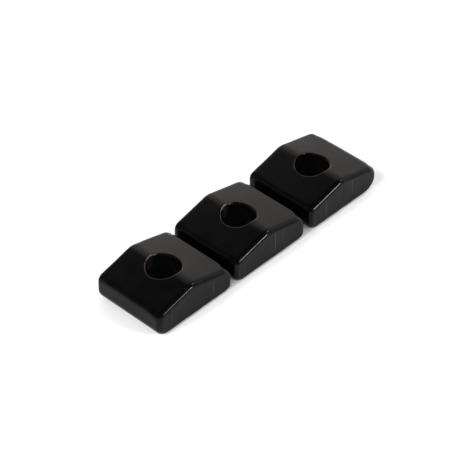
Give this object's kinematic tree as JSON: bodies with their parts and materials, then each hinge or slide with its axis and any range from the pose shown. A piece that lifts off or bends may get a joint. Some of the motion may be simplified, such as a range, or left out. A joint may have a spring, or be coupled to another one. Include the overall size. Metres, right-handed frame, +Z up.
{
  "type": "clamp block set",
  "caption": "Row of loose black steel clamp blocks with gabled tops, each with a central hole for an M4 screw that presses its flat underside onto guitar strings.",
  "frame": {"origin": "under the middle of the row, on the surface that the blocks stand on", "axes": "+X along the row of blocks, +Y along each block's ridge, +Z up along the screw holes"},
  "size_m": [0.0388, 0.0106, 0.0049],
  "materials": {
    "black_plating": "gloss"
  },
  "bodies": {
    "middle_block": {"clamp_block_middle": "black_plating"},
    "left_block": {"clamp_block_left": "black_plating"},
    "right_block": {"clamp_block_right": "black_plating"}
  },
  "joints": [
    {"name": "left_block_lift", "type": "slide", "parent": "middle_block", "child": "left_block", "axis": [0, 0, 1], "range_m": [0, 0.012]},
    {"name": "right_block_lift", "type": "slide", "parent": "middle_block", "child": "right_block", "axis": [0, 0, 1], "range_m": [0, 0.012]}
  ]
}
